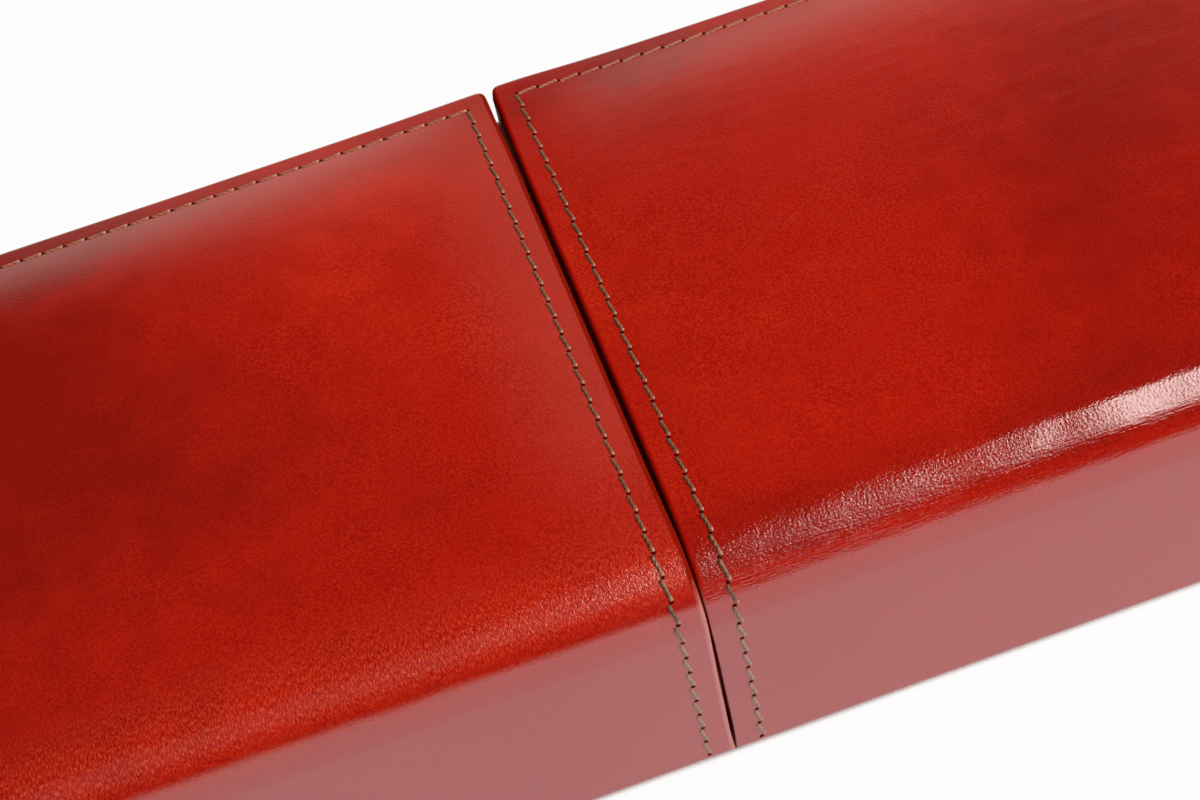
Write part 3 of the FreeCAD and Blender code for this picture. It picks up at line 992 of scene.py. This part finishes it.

# %% [markdown]
# ## Waxed thread
# The thread is brown linen, twisted from two plies and drawn through wax. The twist is a slanted
# stripe on the stitch's own map, which runs along and round the thread. The grooves between the plies
# are painted darker as shade, the near end of each stitch carries a painted highlight, and the thread
# down the near face and along the far seam is painted paler as a painted sheen.

# %% Build the thread
def waxed_thread(name, dark, light):
    material, tree, shader = new_finish(name)
    around = add(tree, "ShaderNodeSeparateXYZ", Vector=add(tree, "ShaderNodeUVMap", {"uv_map": "thread"}).outputs[0])
    turns = sum_of(tree, "ADD", sum_of(tree, "MULTIPLY", around.outputs[0], 1.6),
                   sum_of(tree, "MULTIPLY", around.outputs[1], 2.0))
    ply = sum_of(tree, "SINE", sum_of(tree, "MULTIPLY", turns, math.tau))
    shade = clouds(tree, 2.2 * mm, 2.0)
    fibre = clouds(tree, 0.12 * mm, 2.0)
    brown = blended(tree, between(tree, shade, 0.3, 0.7), dark, light)
    # Painted shade: the grooves between the twisted plies are painted darker.
    brown = blended(tree, between(tree, ply, -1.0, 0.2, 0.5, 0.0), brown, paint(0.085, 0.028, 0.011))
    # Painted highlight: the near end of each stitch is painted pale pink.
    brown = blended(tree, between(tree, around.outputs[0], -0.7, -0.9, 0.0, 0.8), brown, paint(0.5, 0.22, 0.15))
    height_on_case = add(tree, "ShaderNodeSeparateXYZ", Vector=add(tree, "ShaderNodeTexCoord").outputs["Object"])
    # Painted reflection: the thread down the near face is painted paler, for the white floor it mirrors.
    on_side = between(tree, height_on_case.outputs[2], top_z - 4 * mm, top_z - 9 * mm, 0.0, 0.75)
    brown = blended(tree, on_side, brown, paint(0.36, 0.205, 0.15))
    tree.links.new(brown, shader.inputs["Base Color"])
    height = sum_of(tree, "ADD", ply, sum_of(tree, "MULTIPLY", fibre, 1.5))
    bump = add(tree, "ShaderNodeBump", Strength=0.5, Distance=0.05 * mm, Height=height)
    tree.links.new(bump.outputs[0], shader.inputs["Normal"])
    shader.inputs["Roughness"].default_value = 0.4
    shader.inputs["Coat Weight"].default_value = 0.12
    shader.inputs["Coat Roughness"].default_value = 0.3
    return material


loop_thread = waxed_thread("waxed_thread", paint(0.155, 0.052, 0.018), paint(0.25, 0.09, 0.035))
# Painted sheen: the far seam's thread is painted paler than the loops' thread.
seam_thread = waxed_thread("rubbed_thread", paint(0.36, 0.1, 0.046), paint(0.47, 0.152, 0.08))
for piece in thread_pieces:
    piece.data.materials.clear()
    piece.data.materials.append(seam_thread if "seam" in piece.name else loop_thread)

# %% [markdown]
# ## Inside finishes
# The sleeve is covered in smooth dark leather, the pen slots are lined in natural suede, and the
# stiffeners are grey-brown fibreboard. These are the frame's own nodes, which keep their shape and
# only get a finish.

# %% Build the inside finishes
def soft_finish(name, first, second, size, roughness, bump_depth):
    material, tree, shader = new_finish(name)
    cloud = clouds(tree, 12 * mm, 3.0)
    nap = clouds(tree, size, 3.0)
    mixed = sum_of(tree, "ADD", sum_of(tree, "MULTIPLY", cloud, 0.5), sum_of(tree, "MULTIPLY", nap, 0.5))
    tint = blended(tree, between(tree, mixed, 0.35, 0.65), first, second)
    tree.links.new(tint, shader.inputs["Base Color"])
    bump = add(tree, "ShaderNodeBump", Strength=0.5, Distance=bump_depth, Height=nap)
    tree.links.new(bump.outputs[0], shader.inputs["Normal"])
    shader.inputs["Roughness"].default_value = roughness
    return material, shader


suede, suede_shader = soft_finish("natural_suede", paint(0.42, 0.29, 0.17), paint(0.6, 0.45, 0.29), 0.25 * mm, 0.95, 0.1 * mm)
suede_shader.inputs["Sheen Weight"].default_value = 0.35
dark_leather, dark_shader = soft_finish("dark_leather", paint(0.54, 0.015, 0.006), paint(0.7, 0.025, 0.01), 0.4 * mm, 0.42, 0.04 * mm)
dark_shader.inputs["Coat Weight"].default_value = 0.4
dark_shader.inputs["Coat Roughness"].default_value = 0.22
facing, facing_shader = soft_finish("facing_leather", paint(0.36, 0.012, 0.005), paint(0.48, 0.02, 0.008), 0.4 * mm, 0.5, 0.04 * mm)
board, board_shader = soft_finish("fibreboard", paint(0.27, 0.2, 0.13), paint(0.4, 0.31, 0.21), 0.3 * mm, 0.85, 0.05 * mm)
by_slot = {"suede": suede, "dark_leather": dark_leather, "facing_leather": facing, "board": board}
for row in frame["record"]["subparts"]:
    if row["material_slot"] in by_slot:
        node = frame["nodes"][row["node"]]
        node.data.materials.clear()
        node.data.materials.append(by_slot[row["material_slot"]])

# %% [markdown]
# ## White floor and one large lamp
# The case lies on a white sweep, lit by one wide soft box high on the right. A glossy thing shows what
# is round it, so the room matters as much as the lamp: white near the horizon behind the case, dark
# above and on the camera's side. The floor is white to the camera and in reflections, and still takes
# a soft shadow.

# %% Set the floor, the room and the lamp
def seen_or_mirrored(tree):
    path = add(tree, "ShaderNodeLightPath")
    seen = sum_of(tree, "MAXIMUM", path.outputs["Is Camera Ray"], path.outputs["Is Glossy Ray"])
    return path.outputs["Is Camera Ray"], sum_of(tree, "MAXIMUM", seen, path.outputs["Is Transmission Ray"])


def white_floor():
    material = bpy.data.materials.new("white_floor")
    material.use_nodes = True
    tree = material.node_tree
    tree.nodes.clear()
    paper = add(tree, "ShaderNodeBsdfDiffuse", Color=paint(0.85, 0.85, 0.85))
    glow = add(tree, "ShaderNodeEmission", Color=paint(1, 1, 1), Strength=1.0)
    shown = seen_or_mirrored(tree)[1]
    open_sky = add(tree, "ShaderNodeAmbientOcclusion", {"samples": 8}, Distance=12 * mm).outputs["AO"]
    bright = between(tree, open_sky, 0.2, 0.5)
    share = sum_of(tree, "MULTIPLY", sum_of(tree, "MULTIPLY", shown, 0.92), bright)
    mixed = add(tree, "ShaderNodeMixShader", Fac=share)
    tree.links.new(paper.outputs[0], mixed.inputs[1])
    tree.links.new(glow.outputs[0], mixed.inputs[2])
    target = add(tree, "ShaderNodeOutputMaterial")
    tree.links.new(mixed.outputs[0], target.inputs[0])
    return material


bpy.ops.object.select_all(action="DESELECT")
bpy.ops.mesh.primitive_plane_add(size=4, location=(0, 0, -0.0002))
floor = bpy.context.object
floor.name = "floor"
floor.data.materials.append(white_floor())


def studio():
    world = bpy.data.worlds.new("studio")
    bpy.context.scene.world = world
    world.use_nodes = True
    tree = world.node_tree
    tree.nodes.clear()
    way = add(tree, "ShaderNodeSeparateXYZ", Vector=add(tree, "ShaderNodeTexCoord").outputs["Generated"])
    behind = sum_of(tree, "ADD", sum_of(tree, "MULTIPLY", way.outputs[0], 0.6),
                    sum_of(tree, "MULTIPLY", way.outputs[1], 0.8))
    front_brow = between(tree, way.outputs[0], -0.14, 0.1, 0.16, 0.02)
    brow = between(tree, behind, 0.25, 0.66, front_brow, 0.5)
    above = sum_of(tree, "SUBTRACT", way.outputs[2], brow)
    fade_end = between(tree, behind, 0.25, 0.5, 0.13, 0.22)
    level = between(tree, behind, 0.25, 0.5, 1.0, 0.86)
    room = between(tree, above, -0.13, fade_end, level, 0.03)
    seen = seen_or_mirrored(tree)[0]
    tint = blended(tree, seen, paint(1, 0.95, 0.83), paint(1, 1, 1))
    light = add(tree, "ShaderNodeBackground", Color=tint, Strength=sum_of(tree, "MAXIMUM", room, seen))
    target = add(tree, "ShaderNodeOutputWorld")
    tree.links.new(light.outputs[0], target.inputs[0])


studio()


warm_white = (1, 0.99, 0.93)


def soft_box(name, toward, up, distance, width, height, radiance):
    """A lamp that faces the case from a direction, turned so that its height runs along up."""
    back = Vector(toward).normalized()
    rise = (Vector(up) - back * back.dot(Vector(up))).normalized()
    lamp = bpy.data.lights.new(name, "AREA")
    lamp.shape = "RECTANGLE"
    lamp.size = width
    lamp.size_y = height
    lamp.energy = radiance * math.pi * width * height
    lamp.color = warm_white
    holder = bpy.data.objects.new(name, lamp)
    bpy.context.collection.objects.link(holder)
    turn = Matrix((rise.cross(back), rise, back)).transposed().to_4x4()
    holder.matrix_world = Matrix.Translation(back * distance) @ turn
    return holder


soft_box("key_soft_box", (0.68, -0.32, 0.66), (0, 0.9, 0.43), 1.0, 0.94, 0.73, 7.1)
soft_box("front_wall", (0, -0.6, 0.8), (0, 0.8, 0.6), 1.0, 1.0, 0.5, 0.15)

# %% [markdown]
# ## Camera
# The view is close, from above and a little to the left, along the joint between the two halves. Its
# place, turn and lens were worked out from the evenly spaced stitch holes.

# %% Place the camera
lens = bpy.data.cameras.new("camera")
lens.lens = 67.24
lens.sensor_width = 36
lens.clip_start = 0.01
camera = bpy.data.objects.new("camera", lens)
bpy.context.collection.objects.link(camera)
pan, tilt, roll = math.radians(-6.572), math.radians(41.385), math.radians(-14.138)
turn = Matrix.Rotation(pan, 4, "Z") @ Matrix.Rotation(tilt, 4, "X") @ Matrix.Rotation(roll, 4, "Z")
camera.matrix_world = Matrix.Translation(Vector((-28.634, -158.093, 195.281)) * mm) @ turn
bpy.context.scene.camera = camera
bpy.context.scene.view_settings.view_transform = "Standard"
